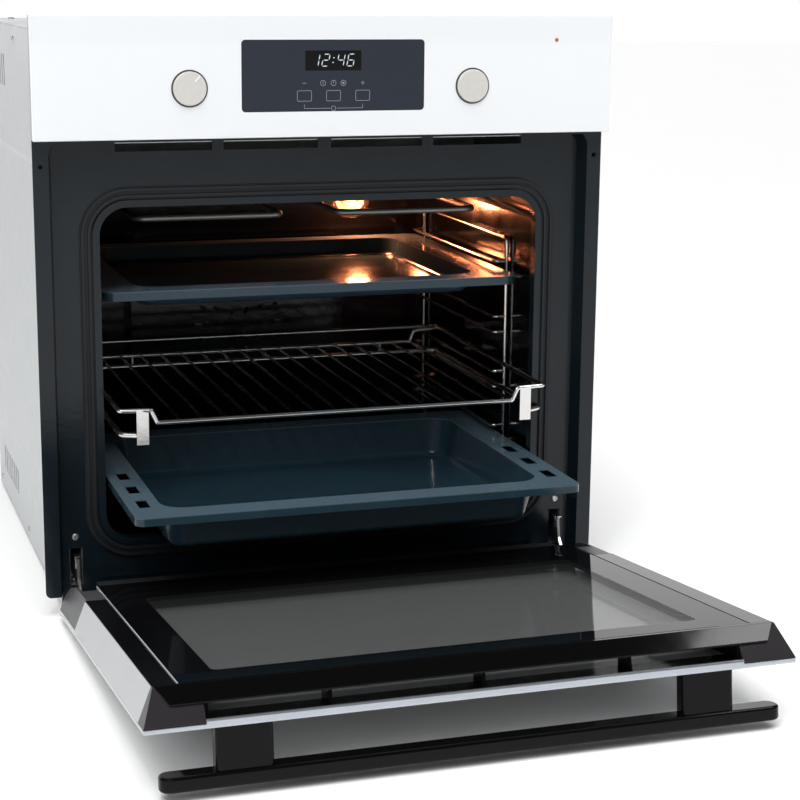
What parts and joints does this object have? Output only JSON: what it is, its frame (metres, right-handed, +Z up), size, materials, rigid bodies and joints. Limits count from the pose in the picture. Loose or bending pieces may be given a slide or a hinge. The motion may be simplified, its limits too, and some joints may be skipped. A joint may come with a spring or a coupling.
{
  "type": "wall oven",
  "caption": "Built-in single wall oven with drop-down glass door, pop-out knobs and clock, wire rack, shallow tray and deep pan on wire side supports.",
  "frame": {"origin": "on the underside of the base panel, on the centre plane, in the plane of the cabinet's front face (the back of the front frame's flanges)", "axes": "+X to the right seen from the front, +Y into the cabinet, +Z up"},
  "size_m": [0.595, 1.0321, 0.595],
  "materials": {
    "front_frame": "gloss dark enamel",
    "cavity_liner": "gloss dark enamel",
    "insulation": "mineral wool",
    "side_panels": "galvanised",
    "top_cover": "galvanised",
    "back_panel": "galvanised",
    "base_panel": "galvanised",
    "fascia_glass": "white back-printed glass",
    "fascia_frame": "matte grey moulding",
    "display_window": "dark printed glass",
    "control_module": "circuit board and black cover",
    "indicator_lamp": "amber lens",
    "knob_rings": "dark collar",
    "selector_knob": "satin silver",
    "thermostat_knob": "satin silver",
    "selector_shaft": "turned",
    "thermostat_shaft": "turned",
    "selector_switch": "cream moulding",
    "thermostat_body": "plated",
    "door_gasket": "silicone seal",
    "side_supports": "chromed wire",
    "wire_rack": "chromed wire",
    "shallow_tray": "blue-grey enamel",
    "deep_pan": "blue-grey enamel",
    "grill_element": "dark sheathed tube",
    "ring_element": "dark sheathed tube",
    "bottom_element": "dark sheathed tube",
    "fan_cover": "gloss dark enamel",
    "convection_fan": "plain steel",
    "fan_motor": "laminated stack",
    "lamp_holder": "white ceramic",
    "lamp_bulb": "clear bulb",
    "lamp_glass": "clear ribbed dome",
    "temperature_probe": "plain steel",
    "air_duct": "galvanised",
    "blower_housing": "galvanised",
    "blower_rotor": "pressed blades",
    "blower_motor": "laminated stack",
    "thermal_cutout": "black moulding",
    "terminal_block": "cream moulding",
    "cable_gland": "black grommet",
    "wiring_loom": "grey sleeving",
    "hinge_brackets": "bright zinc",
    "hinge_housings": "galvanised",
    "hinge_springs": "spring steel",
    "hinge_latch_left": "bright zinc",
    "hinge_latch_right": "bright zinc",
    "door_outer_glass": "white printed border, dark window",
    "door_middle_glass": "heat-reflecting",
    "door_inner_glass": "black printed border, clear window",
    "door_sides": "satin grey",
    "door_corners": "dark grey",
    "door_top_trim": "gloss black",
    "door_end_caps": "black",
    "door_bottom_rail": "black",
    "glass_holders": "black",
    "hinge_yokes": "zinc",
    "handle_bar": "gloss black",
    "handle_legs": "gloss black",
    "door_edge_strip": "bright anodised"
  },
  "bodies": {
    "housing": {"front_frame": "front_frame", "cavity_liner": "cavity_liner", "insulation": "insulation", "side_panels": "side_panels", "top_cover": "top_cover", "back_panel": "back_panel", "base_panel": "base_panel", "fascia_glass": "fascia_glass", "fascia_frame": "fascia_frame", "display_window": "display_window", "control_module": "control_module", "indicator_lamp": "indicator_lamp", "knob_rings": "knob_rings", "selector_switch": "selector_switch", "thermostat_body": "thermostat_body", "door_gasket": "door_gasket", "side_supports": "side_supports", "grill_element": "grill_element", "ring_element": "ring_element", "bottom_element": "bottom_element", "fan_cover": "fan_cover", "fan_motor": "fan_motor", "lamp_holder": "lamp_holder", "lamp_bulb": "lamp_bulb", "lamp_glass": "lamp_glass", "temperature_probe": "temperature_probe", "air_duct": "air_duct", "blower_housing": "blower_housing", "blower_motor": "blower_motor", "thermal_cutout": "thermal_cutout", "terminal_block": "terminal_block", "cable_gland": "cable_gland", "wiring_loom": "wiring_loom", "hinge_brackets": "hinge_brackets", "hinge_housings": "hinge_housings", "hinge_springs": "hinge_springs"},
    "door": {"door_outer_glass": "door_outer_glass", "door_middle_glass": "door_middle_glass", "door_inner_glass": "door_inner_glass", "door_sides": "door_sides", "door_corners": "door_corners", "door_top_trim": "door_top_trim", "door_end_caps": "door_end_caps", "door_bottom_rail": "door_bottom_rail", "glass_holders": "glass_holders", "hinge_yokes": "hinge_yokes", "handle_bar": "handle_bar", "handle_legs": "handle_legs", "door_edge_strip": "door_edge_strip"},
    "selector_shaft": {"selector_shaft": "selector_shaft"},
    "selector_knob": {"selector_knob": "selector_knob"},
    "thermostat_shaft": {"thermostat_shaft": "thermostat_shaft"},
    "thermostat_knob": {"thermostat_knob": "thermostat_knob"},
    "wire_rack": {"wire_rack": "wire_rack"},
    "shallow_tray": {"shallow_tray": "shallow_tray"},
    "deep_pan": {"deep_pan": "deep_pan"},
    "convection_fan": {"convection_fan": "convection_fan"},
    "blower_rotor": {"blower_rotor": "blower_rotor"},
    "hinge_latch_left": {"hinge_latch_left": "hinge_latch_left"},
    "hinge_latch_right": {"hinge_latch_right": "hinge_latch_right"}
  },
  "joints": [
    {"name": "door_hinge", "type": "hinge", "parent": "housing", "child": "door", "pos_m": [0, -0.014, 0.01], "axis": [-1, 0, 0], "range_deg": [0, 83.7]},
    {"name": "selector_turn", "type": "hinge", "parent": "housing", "child": "selector_shaft", "pos_m": [-0.1455, 0, 0.52509], "axis": [0, 1, 0], "continuous": true},
    {"name": "selector_pop_out", "type": "slide", "parent": "selector_shaft", "child": "selector_knob", "axis": [0, 1, 0], "range_m": [-0.009, 0]},
    {"name": "thermostat_turn", "type": "hinge", "parent": "housing", "child": "thermostat_shaft", "pos_m": [0.1455, 0, 0.52509], "axis": [0, 1, 0], "range_deg": [0, 270]},
    {"name": "thermostat_pop_out", "type": "slide", "parent": "thermostat_shaft", "child": "thermostat_knob", "axis": [0, 1, 0], "range_m": [-0.009, 0]},
    {"name": "rack_slide", "type": "slide", "parent": "housing", "child": "wire_rack", "axis": [0, 1, 0], "range_m": [0, 0.08]},
    {"name": "pan_slide", "type": "slide", "parent": "housing", "child": "deep_pan", "axis": [0, 1, 0], "range_m": [0, 0.172]},
    {"name": "tray_slide", "type": "slide", "parent": "housing", "child": "shallow_tray", "axis": [0, 1, 0], "range_m": [-0.2, 0]},
    {"name": "convection_fan_spin", "type": "hinge", "parent": "housing", "child": "convection_fan", "pos_m": [0, 0.42, 0.2145], "axis": [0, 1, 0], "continuous": true},
    {"name": "cooling_fan_spin", "type": "hinge", "parent": "housing", "child": "blower_rotor", "pos_m": [0, 0.132, 0.5135], "axis": [1, 0, 0], "continuous": true},
    {"name": "hinge_latch_left_flip", "type": "hinge", "parent": "housing", "child": "hinge_latch_left", "pos_m": [-0.2625, 0.011, 0.047], "axis": [-1, 0, 0], "range_deg": [-75, 0]},
    {"name": "hinge_latch_right_flip", "type": "hinge", "parent": "housing", "child": "hinge_latch_right", "pos_m": [0.2625, 0.011, 0.047], "axis": [-1, 0, 0], "range_deg": [-75, 0]}
  ],
  "couplings": [
    {"joint": "rack_slide", "follows": "door_hinge", "m_per_rad": 0.05475},
    {"joint": "pan_slide", "follows": "door_hinge", "m_per_rad": 0.1177}
  ]
}
